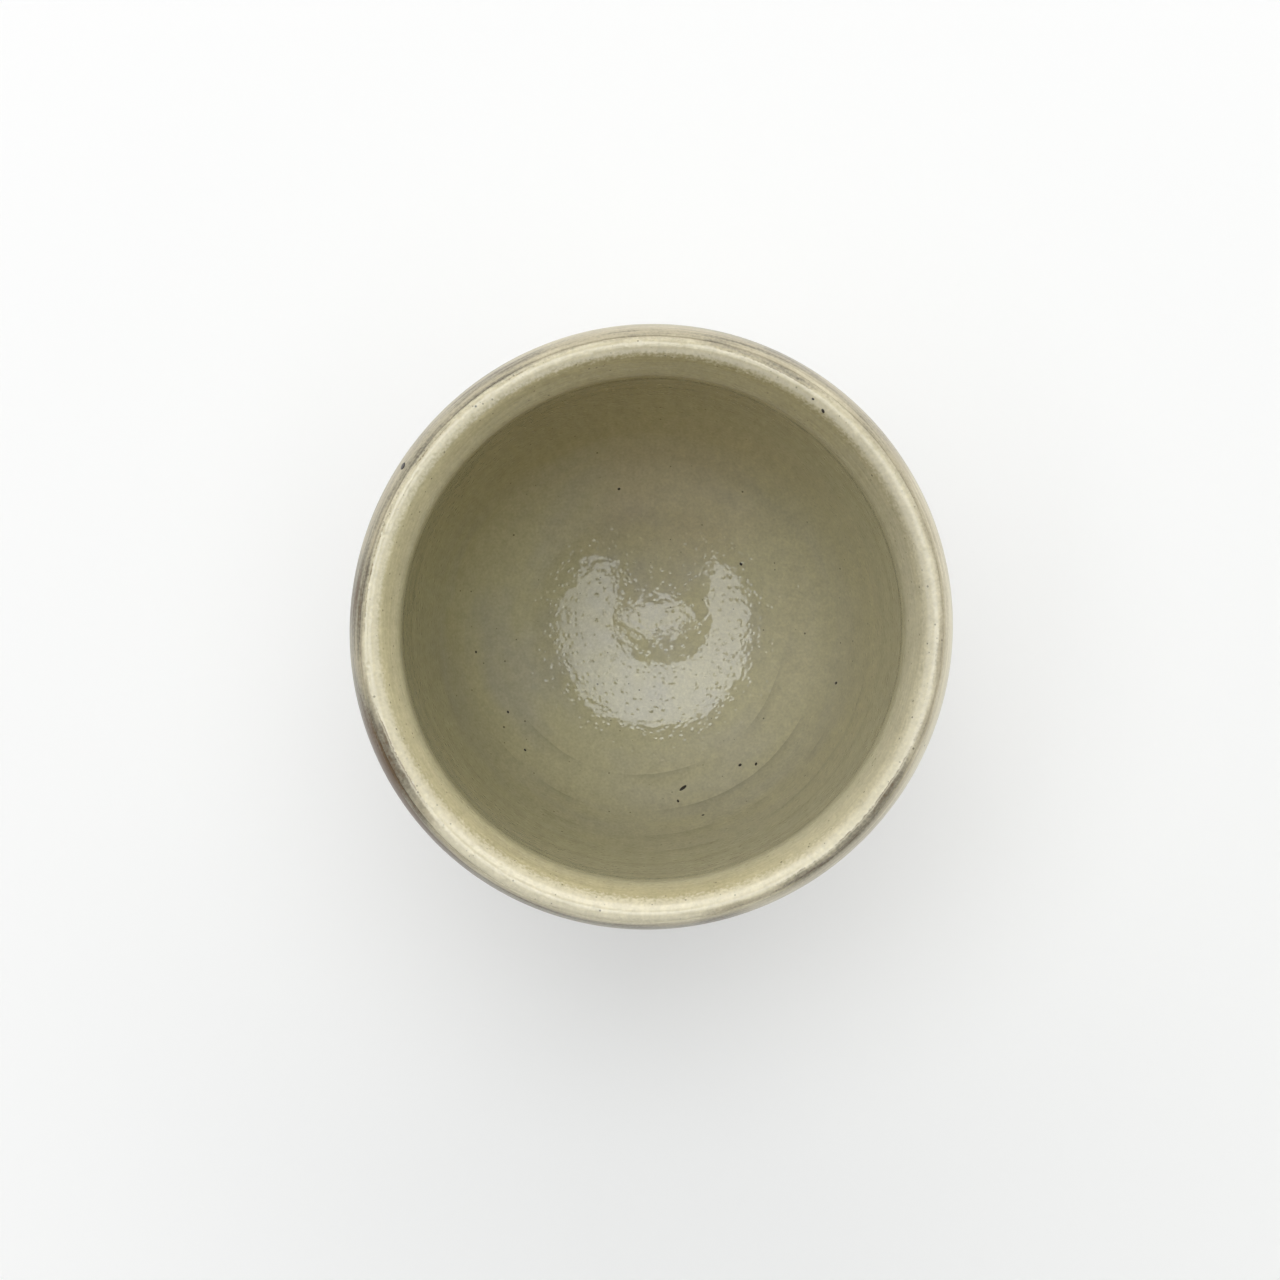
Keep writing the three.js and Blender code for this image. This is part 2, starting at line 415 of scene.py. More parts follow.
def add_brushed_slip(add, place, finish):
    """Slip brushed round the turning cup: its tone under clear glaze, the brush's hairs and its load."""
    parts = add("ShaderNodeSeparateXYZ", {0: place}).outputs
    flat = add("ShaderNodeVectorMath", {0: place, 1: (1, 1, 0)}, operation="MULTIPLY").outputs[0]
    heading = add("ShaderNodeVectorMath", {0: flat}, operation="NORMALIZE").outputs[0]
    streaks = []
    for hair, stretch in ((0.5 * MM, 3), (4.5 * MM, 1.6)):
        level = add("ShaderNodeMath", {0: parts["Z"], 1: 1 / hair}, operation="MULTIPLY").outputs[0]
        level_at = add("ShaderNodeCombineXYZ", {"Z": level}).outputs[0]
        vector = add("ShaderNodeVectorMath", {
            0: heading, 1: (stretch, stretch, 0), 2: level_at,
        }, operation="MULTIPLY_ADD").outputs[0]
        streaks.append(add("ShaderNodeTexNoise", {
            "Vector": vector, "Scale": 1, "Detail": 4, "Roughness": 0.6,
        }).outputs[0])

    # The brush's load: hairs, strokes, patches and grain, less below the lip and least above the foot
    patches = add("ShaderNodeTexNoise", {"Vector": place, "Scale": 1 / (16 * MM), "Detail": 3}).outputs[0]
    grain = add("ShaderNodeTexNoise", {"Vector": place, "Scale": 1 / (0.4 * MM), "Detail": 2}).outputs[0]
    load = -0.05
    for part, weight in ((streaks[0], 0.8), (streaks[1], 0.6), (patches, 0.4), (grain, 0.3)):
        load = add("ShaderNodeMath", {0: part, 1: weight, 2: load}, operation="MULTIPLY_ADD").outputs[0]
    thinner = (
        (13 * MM, 22 * MM, 0.4), (CREST_HEIGHT - 9 * MM, CREST_HEIGHT - 5 * MM, 0.08),
        (CREST_HEIGHT - 1.2 * MM, CREST_HEIGHT - 0.2 * MM, 0.03),
    )
    for low, high, bare in thinner:
        thinned = add("ShaderNodeMapRange", {
            "Value": parts["Z"], "From Min": low, "From Max": high, "To Min": bare, "To Max": 0,
        }).outputs[0]
        load = add("ShaderNodeMath", {0: load, 1: thinned}, operation="SUBTRACT").outputs[0]

    # Stretches of the rim where the brush ran dry or was full: direction and reach in degrees, and how dry
    rim = add("ShaderNodeMapRange", {
        "Value": parts["Z"], "From Min": CREST_HEIGHT - 11 * MM, "From Max": CREST_HEIGHT - 4 * MM,
    }).outputs[0]
    stretches = (
        (-46, 20, 0.24), (-66, 14, 0.1), (-76, 6, 0.16), (-100, 42, -0.34), (-146, 9, 0.2), (-20, 55, 0.1),
        (-159, 14, 0.3), (178, 14, 0.12), (145, 34, 0.1), (122, 12, 0.12), (92, 38, 0.09),
    )
    for direction, reach, dryness in stretches:
        dry = add_toward(add, heading, direction, reach, -dryness)
        load = add("ShaderNodeMath", {0: dry, 1: rim, 2: load}, operation="MULTIPLY_ADD").outputs[0]

    # Just outside the crest, drier under the fullest stretch and full again to the right
    under = add("ShaderNodeMapRange", {
        "Value": parts["Z"], "From Min": CREST_HEIGHT - 1.6 * MM, "From Max": CREST_HEIGHT - 0.3 * MM,
        "To Min": 1, "To Max": 0,
    }).outputs[0]
    under = add("ShaderNodeMath", {0: under, 1: rim}, operation="MULTIPLY").outputs[0]
    for direction, reach, dryness in ((-106, 44, 0.54), (-165, 40, 0.1), (-30, 62, -0.38)):
        dry = add_toward(add, heading, direction, reach, -dryness)
        load = add("ShaderNodeMath", {0: dry, 1: under, 2: load}, operation="MULTIPLY_ADD").outputs[0]

    # From bare clay to the thickest slip
    tone = (*finish.iron_brown, 1)
    steps = ((0.6, 0.78, finish.blue_grey), (0.76, 0.92, finish.mauve_grey), (0.95, 1.25, finish.pale_cream))
    for low, high, colour in steps:
        share = add("ShaderNodeMapRange", {"Value": load, "From Min": low, "From Max": high}).outputs[0]
        tone = add("ShaderNodeMix", {0: share, 6: tone, 7: (*colour, 1)}, data_type="RGBA").outputs[2]
    return tone, streaks[0], load


def liner_glaze_material(finish, shape):
    """Glossy ash glaze over pale slip, poured and fired.

    It gives the eye a cream to olive tone that drifts in rings, fine iron specks, darker lines in the
    finger's grooves that are partly pooled glaze and partly painted shade, painted shade on the far wall,
    under the throat and on the lip's bevel, painted light to the right and on the crest, a worn line
    round the lip, and a mirror-like gloss with a ragged edge.
    """
    material, add, link, shader = new_material("ash_glaze_over_slip")
    place = add("ShaderNodeTexCoord").outputs["Object"]
    parts = add("ShaderNodeSeparateXYZ", {0: place}).outputs
    flat = add("ShaderNodeVectorMath", {0: place, 1: (1, 1, 0)}, operation="MULTIPLY").outputs[0]
    radius = add("ShaderNodeVectorMath", {0: flat}, operation="LENGTH").outputs["Value"]
    heading = add("ShaderNodeVectorMath", {0: flat}, operation="NORMALIZE").outputs[0]
    climb = add("ShaderNodeMath", {0: radius, 1: parts["Z"]}, operation="ADD").outputs[0]
    way = add("ShaderNodeMath", {0: climb, 1: FLOOR_HEIGHT}, operation="SUBTRACT").outputs[0]
    angle = add("ShaderNodeMath", {0: parts["Y"], 1: parts["X"]}, operation="ARCTAN2").outputs[0]
    drift = add("ShaderNodeTexNoise", {"Vector": place, "Scale": 1 / (26 * MM), "Detail": 3}).outputs[0]

    # Rings of thinner slip over olive: slow round the cup, quick along the wall
    ring_width = 8 * MM
    ring_place = add("ShaderNodeMath", {0: way, 1: 1 / ring_width}, operation="MULTIPLY").outputs[0]
    ring_at = add("ShaderNodeCombineXYZ", {"Z": ring_place}).outputs[0]
    ring_vector = add("ShaderNodeVectorMath", {
        0: heading, 1: (1.6, 1.6, 0), 2: ring_at,
    }, operation="MULTIPLY_ADD").outputs[0]
    rings = add("ShaderNodeTexNoise", {"Vector": ring_vector, "Scale": 1, "Detail": 1.5}).outputs[0]
    wall_only = add("ShaderNodeMapRange", {
        "Value": way, "From Min": 38 * MM, "From Max": 60 * MM, "To Min": 0.65, "To Max": 0.2,
    }).outputs[0]
    ring_share = add("ShaderNodeMapRange", {
        "Value": rings, "From Min": 0.42, "From Max": 0.7, "To Max": wall_only,
    }).outputs[0]
    tone = add("ShaderNodeMix", {
        0: ring_share, 6: (*finish.olive, 1), 7: (*finish.ash_grey, 1),
    }, data_type="RGBA").outputs[2]

    # Warm patches, most of them on the far wall
    far = add("ShaderNodeMapRange", {
        "Value": parts["Y"], "From Min": -10 * MM, "From Max": 30 * MM, "To Min": 0.1, "To Max": 1,
    }).outputs[0]
    warm = add("ShaderNodeMapRange", {
        "Value": drift, "From Min": 0.4, "From Max": 0.65, "To Max": wall_only,
    }).outputs[0]
    blush_share = add("ShaderNodeMath", {0: far, 1: warm}, operation="MULTIPLY").outputs[0]
    tone = add("ShaderNodeMix", {0: blush_share, 6: tone, 7: (*finish.blush, 1)}, data_type="RGBA").outputs[2]

    # Painted shade: browner up the shaded far wall and darker under the throat; painted light: paler and
    # lighter to the right
    # Painted shade up the far wall
    far_share = add_toward(add, heading, 100, 70, 0.9)
    upper = add("ShaderNodeMapRange", {"Value": way, "From Min": 25 * MM, "From Max": 45 * MM}).outputs[0]
    far_share = add("ShaderNodeMath", {0: far_share, 1: upper}, operation="MULTIPLY").outputs[0]
    tone = add("ShaderNodeMix", {
        0: far_share, 6: tone, 7: (*finish.far_wall_shade_olive, 1),
    }, data_type="RGBA").outputs[2]
    # Painted light: paler and lighter toward the right
    right_light_share = add("ShaderNodeMapRange", {
        "Value": parts["X"], "From Min": -36 * MM, "From Max": 36 * MM, "To Max": 0.4,
    }).outputs[0]
    tone = add("ShaderNodeMix", {0: right_light_share, 6: tone, 7: (*finish.slip, 1)}, data_type="RGBA").outputs[2]
    right_light_tone = add("ShaderNodeMapRange", {
        "Value": parts["X"], "From Min": -36 * MM, "From Max": 36 * MM, "To Min": 0.84, "To Max": 1.16,
    }).outputs[0]
    tone = add("ShaderNodeVectorMath", {0: tone, "Scale": right_light_tone}, operation="SCALE").outputs[0]
    # Painted shade under the throat's overhang
    throat_shade = add("ShaderNodeMapRange", {
        "Value": way, "From Min": 60 * MM, "From Max": 85 * MM, "To Min": 1, "To Max": 0.92,
    }).outputs[0]
    tone = add("ShaderNodeVectorMath", {0: tone, "Scale": throat_shade}, operation="SCALE").outputs[0]

    # Darker lines against the ridge of the finger's spiral at the near side, partly glaze pooled in the
    # groove and partly painted shade, broken off here and there
    turn = add("ShaderNodeMath", {0: angle, 1: 1 / math.tau}, operation="MULTIPLY").outputs[0]
    uneven = add("ShaderNodeMath", {0: drift, 1: 2.5 * MM, 2: way}, operation="MULTIPLY_ADD").outputs[0]
    groove = add("ShaderNodeMath", {
        0: uneven, 1: 1 / shape.ring_pitch, 2: turn,
    }, operation="MULTIPLY_ADD").outputs[0]
    saw = add("ShaderNodeMath", {0: groove}, operation="FRACT").outputs[0]
    ahead = add("ShaderNodeMath", {0: 1, 1: saw}, operation="SUBTRACT").outputs[0]
    sharp = add("ShaderNodeMath", {0: ahead, 1: 6}, operation="POWER").outputs[0]
    groove_glaze_and_shade = add("ShaderNodeMath", {0: sharp, 1: 0.4}, operation="MULTIPLY").outputs[0]
    broken = add("ShaderNodeTexNoise", {"Vector": place, "Scale": 1 / (11 * MM), "Detail": 2}).outputs[0]
    kept_share = add("ShaderNodeMapRange", {"Value": broken, "From Min": 0.44, "From Max": 0.6}).outputs[0]
    nearest = (0.15, -1, 0)
    near = add("ShaderNodeVectorMath", {0: place, 1: nearest}, operation="DOT_PRODUCT").outputs["Value"]
    near_share = add("ShaderNodeMapRange", {"Value": near, "From Max": 20 * MM}).outputs[0]
    heel_share = add("ShaderNodeMapRange", {
        "Value": way, "From Min": 20 * MM, "From Max": 27 * MM,
    }).outputs[0]
    wall_share = add("ShaderNodeMapRange", {
        "Value": way, "From Min": 42 * MM, "From Max": 95 * MM, "To Min": 1, "To Max": 0,
    }).outputs[0]
    for share in (kept_share, near_share, heel_share, wall_share):
        groove_glaze_and_shade = add("ShaderNodeMath", {0: groove_glaze_and_shade, 1: share}, operation="MULTIPLY").outputs[0]
    tone = add("ShaderNodeMix", {
        0: groove_glaze_and_shade, 6: tone, 7: (*finish.blue_grey, 1),
    }, data_type="RGBA").outputs[2]

    # The lip: streaked cream, with painted shade on its far and near sides and painted light at its right
    brushed, hairs, load = add_brushed_slip(add, place, finish)
    lip_tone = (*finish.cream, 1)
    lip_shade_and_light = ((75, 75, 0.85, finish.khaki_shade), (-105, 55, 0.38, finish.khaki_shade), (-10, 60, 0.35, finish.slip))
    for direction, reach, amount, colour in lip_shade_and_light:
        share = add_toward(add, heading, direction, reach, amount)
        lip_tone = add("ShaderNodeMix", {0: share, 6: lip_tone, 7: (*colour, 1)}, data_type="RGBA").outputs[2]
    streak_tone = add("ShaderNodeMapRange", {
        "Value": hairs, "From Min": 0.35, "From Max": 0.65, "To Min": 0.92, "To Max": 1.07,
    }).outputs[0]
    lip_tone = add("ShaderNodeVectorMath", {0: lip_tone, "Scale": streak_tone}, operation="SCALE").outputs[0]
    lip_share = add("ShaderNodeMapRange", {
        "Value": way, "From Min": CREST_WAY - 12.4 * MM, "From Max": CREST_WAY - 6.4 * MM,
    }, interpolation_type="SMOOTHSTEP").outputs[0]
    tone = add("ShaderNodeMix", {0: lip_share, 6: tone, 7: lip_tone}, data_type="RGBA").outputs[2]

    # The crest: pale slip and painted light, with a painted sheen most at the near side, and a grainy edge
    grit = add("ShaderNodeTexNoise", {"Vector": place, "Scale": 1 / (0.45 * MM), "Detail": 2}).outputs[0]
    ragged = add("ShaderNodeMath", {0: grit, 1: 1.6 * MM, 2: radius}, operation="MULTIPLY_ADD").outputs[0]
    near_lip = add_toward(add, heading, -105, 65, 1)
    near_sheen_most = add("ShaderNodeMapRange", {"Value": near_lip, "To Min": 0.65, "To Max": 0.9}).outputs[0]
    crest_slip_and_sheen = add("ShaderNodeMapRange", {
        "Value": ragged, "From Min": CREST_RADIUS - 0.73 * MM, "From Max": CREST_RADIUS - 0.13 * MM,
        "To Max": near_sheen_most,
    }).outputs[0]
    crest_slip_and_sheen = add("ShaderNodeMath", {0: crest_slip_and_sheen, 1: lip_share}, operation="MULTIPLY").outputs[0]
    tone = add("ShaderNodeMix", {
        0: crest_slip_and_sheen, 6: tone, 7: (*finish.pale_cream, 1),
    }, data_type="RGBA").outputs[2]

    # Past the crest the glaze thins to a worn line, and brushed slip shows beyond it
    lip_line = add("ShaderNodeMapRange", {
        "Value": load, "From Min": 0.7, "From Max": 1.1,
        "To Min": CREST_RADIUS + 0.22 * MM, "To Max": CREST_RADIUS + 0.72 * MM,
    }).outputs[0]
    past = add("ShaderNodeMath", {0: radius, 1: lip_line}, operation="SUBTRACT").outputs[0]
    past = add("ShaderNodeMath", {0: past, 1: lip_share}, operation="MULTIPLY").outputs[0]
    past_share = add("ShaderNodeMapRange", {"Value": past, "From Max": 0.3 * MM}).outputs[0]
    tone = add("ShaderNodeMix", {0: past_share, 6: tone, 7: brushed}, data_type="RGBA").outputs[2]
    off_line = add("ShaderNodeMath", {0: past}, operation="ABSOLUTE").outputs[0]
    worn = add("ShaderNodeMapRange", {
        "Value": off_line, "From Max": 0.14 * MM, "To Min": 0.8, "To Max": 0,
    }).outputs[0]
    thin = add("ShaderNodeMapRange", {"Value": load, "From Min": 0.95, "From Max": 0.75}).outputs[0]
    worn_share = add("ShaderNodeMath", {0: worn, 1: thin}, operation="MULTIPLY").outputs[0]
    worn_share = add("ShaderNodeMath", {0: worn_share, 1: lip_share}, operation="MULTIPLY").outputs[0]
    tone = add("ShaderNodeMix", {
        0: worn_share, 6: tone, 7: (*finish.iron_brown, 1),
    }, data_type="RGBA").outputs[2]

    # Fine cloud of the glaze, a millimetre or two across, grit in it, and iron specks, closest on the lip
    runny = add("ShaderNodeVectorMath", {0: place, 1: (1, 1, 0.3)}, operation="MULTIPLY").outputs[0]
    cloud = add("ShaderNodeTexNoise", {
        "Vector": runny, "Scale": 1 / (1.6 * MM), "Detail": 5, "Roughness": 0.7,
    }).outputs[0]
    for grain, least, most in ((cloud, 0.91, 1.08), (grit, 0.93, 1.06)):
        grain_tone = add("ShaderNodeMapRange", {
            "Value": grain, "From Min": 0.3, "From Max": 0.7, "To Min": least, "To Max": most,
        }).outputs[0]
        tone = add("ShaderNodeVectorMath", {0: tone, "Scale": grain_tone}, operation="SCALE").outputs[0]
    lip_grains = add("ShaderNodeMapRange", {"Value": lip_share, "To Max": 0.5}).outputs[0]
    grains = (*GLAZE_SPECKS, (0.9 * MM, 0.19 * MM, 0.6, lip_grains))
    tone = add_iron_specks(add, place, tone, finish, grains)
    link(tone, shader["Base Color"])

    # The swell of melted glaze, with small blisters and pits that crowd together in places
    skin = add("ShaderNodeNewGeometry").outputs["Normal"]
    for width, depth in ((3.2 * MM, 0.05 * MM), (1.1 * MM, 0.024 * MM), (0.5 * MM, 0.008 * MM)):
        swell = add("ShaderNodeTexNoise", {"Vector": place, "Scale": 1 / width, "Detail": 0}).outputs[0]
        skin = add("ShaderNodeBump", {
            "Strength": 1, "Distance": depth, "Height": swell, "Normal": skin,
        }).outputs[0]
    patches = add("ShaderNodeTexNoise", {"Vector": place, "Scale": 1 / (7 * MM), "Detail": 2}).outputs[0]
    crowding = add("ShaderNodeMapRange", {
        "Value": patches, "From Min": 0.36, "From Max": 0.62, "To Min": 0.35, "To Max": 0.95,
    }).outputs[0]
    bubbles = ((0.95 * MM, 0.45, 0.032 * MM, False), (1.5 * MM, 0.34, 0.042 * MM, True))
    for spacing, reach, depth, pit in bubbles:
        cells = add("ShaderNodeTexVoronoi", {"Vector": place, "Scale": 1 / spacing}).outputs
        chance = add("ShaderNodeSeparateXYZ", {0: cells["Color"]}).outputs["X"]
        kept = add("ShaderNodeMath", {0: chance, 1: crowding}, operation="LESS_THAN").outputs[0]
        dome = add("ShaderNodeMapRange", {
            "Value": cells["Distance"], "From Max": reach, "To Min": 1, "To Max": 0,
        }, interpolation_type="SMOOTHSTEP").outputs[0]
        height = add("ShaderNodeMath", {0: dome, 1: kept}, operation="MULTIPLY").outputs[0]
        skin = add("ShaderNodeBump", {
            "Strength": 1, "Distance": depth, "Height": height, "Normal": skin,
        }, invert=pit).outputs[0]
    link(skin, shader["Normal"])

    # Glossy inside, duller past the crest
    gloss = add("ShaderNodeMapRange", {"Value": past_share, "To Min": 0.05, "To Max": 0.32}).outputs[0]
    link(gloss, shader["Roughness"])
    bend = add("ShaderNodeMapRange", {"Value": past_share, "To Min": 1.62, "To Max": 1.4}).outputs[0]
    link(bend, shader["IOR"])
    return material


def outer_glaze_material(finish):
    """Clear glaze over slip brushed round the turning cup.

    It gives the eye fine level streaks, pale where the slip is thick, grey where it is thin and
    iron-brown where the brush missed, under a soft gloss.
    """
    material, add, link, shader = new_material("clear_glaze_over_brushed_slip")
    place = add("ShaderNodeTexCoord").outputs["Object"]
    tone, hairs, _ = add_brushed_slip(add, place, finish)
    tone = add_iron_specks(add, place, tone, finish, GLAZE_SPECKS)
    link(tone, shader["Base Color"])

    # The swell of the glaze, over the furrows of the brush
    swell = add("ShaderNodeTexNoise", {"Vector": place, "Scale": 1 / (2.2 * MM), "Detail": 1}).outputs[0]
    swelled = add("ShaderNodeBump", {"Strength": 0.5, "Distance": 0.05 * MM, "Height": swell}).outputs[0]
    furrowed = add("ShaderNodeBump", {
        "Strength": 0.4, "Distance": 0.06 * MM, "Height": hairs, "Normal": swelled,
    }).outputs[0]
    link(furrowed, shader["Normal"])
    shader["Roughness"].default_value = 0.32
    shader["IOR"].default_value = 1.4
    return material


def stoneware_material(finish):
    """Bare iron-bearing stoneware, turned on the wheel and fired.

    It gives the eye a dry brown-grey with warm and dark patches, fine pale and dark grit, and turning marks.
    """
    material, add, link, shader = new_material("bare_fired_stoneware")
    place = add("ShaderNodeTexCoord").outputs["Object"]
    patches = add("ShaderNodeTexNoise", {
        "Vector": place, "Scale": 1 / (9 * MM), "Detail": 5, "Roughness": 0.6,
    }).outputs[0]
    share = add("ShaderNodeMapRange", {"Value": patches, "From Min": 0.35, "From Max": 0.7}).outputs[0]
    tone = add("ShaderNodeMix", {
        0: share, 6: (*finish.clay, 1), 7: (*finish.clay_dark, 1),
    }, data_type="RGBA").outputs[2]
    grit = add("ShaderNodeTexNoise", {"Vector": place, "Scale": 1 / (0.45 * MM), "Detail": 2}).outputs[0]
    grit_tone = add("ShaderNodeMapRange", {
        "Value": grit, "From Min": 0.3, "From Max": 0.7, "To Min": 0.78, "To Max": 1.2,
    }).outputs[0]
    tone = add("ShaderNodeVectorMath", {0: tone, "Scale": grit_tone}, operation="SCALE").outputs[0]
    tone = add_iron_specks(add, place, tone, finish, ((3 * MM, 0.25 * MM, 0.5, 0.8),))
    link(tone, shader["Base Color"])

    # Grain of the clay, and the turning tool's rings
    rough = add("ShaderNodeBump", {"Strength": 0.6, "Distance": 0.12 * MM, "Height": grit}).outputs[0]
    flat = add("ShaderNodeVectorMath", {0: place, 1: (1, 1, 0)}, operation="MULTIPLY").outputs[0]
    radius = add("ShaderNodeVectorMath", {0: flat}, operation="LENGTH").outputs["Value"]
    ring_place = add("ShaderNodeMath", {0: radius, 1: 1 / (1.1 * MM)}, operation="MULTIPLY").outputs[0]
    rings = add("ShaderNodeTexNoise", {"W": ring_place, "Scale": 1}, noise_dimensions="1D").outputs[0]
    turned = add("ShaderNodeBump", {
        "Strength": 0.5, "Distance": 0.25 * MM, "Height": rings, "Normal": rough,
    }).outputs[0]
    link(turned, shader["Normal"])
    shader["Roughness"].default_value = 0.82
    return material


def slip_material(finish):
    """Pale slip under the glaze, brushed on: a chalky cream with faint clouds."""
    material, add, link, shader = new_material("pale_brushed_slip")
    place = add("ShaderNodeTexCoord").outputs["Object"]
    cloud = add("ShaderNodeTexNoise", {"Vector": place, "Scale": 1 / (3 * MM), "Detail": 4}).outputs[0]
    tone = add("ShaderNodeMix", {
        0: cloud, 6: (*finish.slip, 1), 7: (*finish.ash_grey, 1),
    }, data_type="RGBA").outputs[2]
    link(tone, shader["Base Color"])
    shader["Roughness"].default_value = 0.75
    return material


def iron_grain_material(finish):
    """Iron melted through the glaze: nearly black, with a dull gloss."""
    material, _, _, shader = new_material("melted_iron_grain")
    shader["Base Color"].default_value = (*finish.speck, 1)
    shader["Roughness"].default_value = 0.35
    return material


def skin_tree(piece):
    """What finds where a line of sight meets a piece."""
    mesh = piece.data
    return BVHTree.FromPolygons([v.co for v in mesh.vertices], [p.vertices for p in mesh.polygons])


def lens_place(stage):
    """Where the camera stands: straight above, so that the mouth lies where the photograph has it."""
    middle = PHOTO_SIZE / 2
    across = (middle - PHOTO_MOUTH[0]) * PIXEL
    along = (PHOTO_MOUTH[1] - middle) * PIXEL
    return Vector((across, along, CREST_HEIGHT + stage.camera_distance))


class YUNOMI_OT_stoneware(bpy.types.Operator):
    """Make the thrown body and the foot ring in bare stoneware"""

    bl_idname = "yunomi.stoneware"
    bl_label = "Stoneware"

    def execute(self, context):
        shape = context.scene.yunomi_shape
        material = stoneware_material(context.scene.yunomi_finish)
        for name, node in (("stoneware_pot", "thrown_body"), ("stoneware_foot", "foot_ring")):
            shell = outline(node, cuts=5, passes=10)
            spin_round(shell, shape.turns)
            pull_by_hand(shell, shape)
            finish_piece(shell, name, material, node)
        return {"FINISHED"}


class YUNOMI_OT_slip(bpy.types.Operator):
    """Lay the pale slip over the clay, inside and outside"""

    bl_idname = "yunomi.slip"
    bl_label = "Slip"

    def execute(self, context):
        shape = context.scene.yunomi_shape
        material = slip_material(context.scene.yunomi_finish)
        inside = outline("inner_slip", cuts=3, passes=5)
        spin_round(inside, shape.turns // 2)
        pull_by_hand(inside, shape)
        finish_piece(inside, "slip_inside", material, "inner_slip")
        outside = outline("outer_slip", cuts=3, passes=5)
        spin_round(outside, shape.turns // 2)
        wander_edge(outside, shape)
        pull_by_hand(outside, shape)
        finish_piece(outside, "slip_outside", material, "outer_slip")
        return {"FINISHED"}


class YUNOMI_OT_liner_glaze(bpy.types.Operator):
    """Glaze the inside of the cup and its lip"""

    bl_idname = "yunomi.liner_glaze"
    bl_label = "Liner Glaze"

    def execute(self, context):
        shape = context.scene.yunomi_shape
        shell = outline("liner_glaze", cuts=8, passes=18)
        spin_round(shell, shape.turns)
        press_rings_inside(shell, shape)
        pull_by_hand(shell, shape)
        material = liner_glaze_material(context.scene.yunomi_finish, shape)
        finish_piece(shell, "glaze_inside", material, "liner_glaze")
        return {"FINISHED"}


class YUNOMI_OT_outer_glaze(bpy.types.Operator):
    """Glaze the outside of the cup, from the lip down to the glaze line"""

    bl_idname = "yunomi.outer_glaze"
    bl_label = "Outer Glaze"

    def execute(self, context):
        shape = context.scene.yunomi_shape
        shell = outline("outer_glaze", cuts=8, passes=18)
        spin_round(shell, shape.turns)
        press_rings_outside(shell, shape)
        wander_edge(shell, shape)
        pull_by_hand(shell, shape)
        material = outer_glaze_material(context.scene.yunomi_finish)
        finish_piece(shell, "glaze_outside", material, "outer_glaze")
        return {"FINISHED"}


class YUNOMI_OT_iron_grains(bpy.types.Operator):
    """Set the largest iron grains where they melted through the glaze"""

    bl_idname = "yunomi.iron_grains"
    bl_label = "Iron Grains"

    # Place in the photograph in pixels, length and width in millimetres, and turn in degrees
    grains = (
        (683, 788, 1.5, 0.55, 28), (678, 801, 0.6, 0.4, 100), (741, 564, 0.6, 0.5, 0),
        (740, 765, 0.6, 0.5, 0), (756, 764, 0.6, 0.45, 40), (836, 683, 0.7, 0.5, 100),
        (703, 815, 0.5, 0.4, 0), (508, 712, 0.5, 0.4, 0), (619, 489, 0.5, 0.45, 0),
        (525, 750, 0.5, 0.4, 0), (476, 652, 0.45, 0.4, 0), (403, 466, 1.3, 1, 60),
        (823, 411, 0.7, 0.45, 140), (813, 399, 0.4, 0.3, 0),
    )
    stand_out = 0.06 * MM

    def execute(self, context):
        scene = context.scene
        lens = lens_place(scene.yunomi_stage)
        skins = [skin_tree(bpy.data.objects[name]) for name in ("glaze_inside", "glaze_outside")]
        middle = PHOTO_SIZE / 2
        ahead = -scene.yunomi_stage.camera_distance / PIXEL
        shell = bmesh.new()
        for x, y, length, width, turn in self.grains:
            sight = Vector((x - middle, middle - y, ahead))
            hits = [skin.ray_cast(lens, sight) for skin in skins]
            place, normal, _, _ = min((hit for hit in hits if hit[0]), key=lambda hit: hit[3])
            shape = Matrix.Diagonal((length * MM / 2, width * MM / 2, self.stand_out, 1))
            stand = normal.to_track_quat("Z", "Y").to_matrix().to_4x4()
            spot = Matrix.Translation(place) @ stand @ Matrix.Rotation(math.radians(turn), 4, "Z") @ shape
            bmesh.ops.create_icosphere(shell, subdivisions=2, radius=1, matrix=spot)
        finish_piece(shell, "iron_grains", iron_grain_material(scene.yunomi_finish))
        return {"FINISHED"}


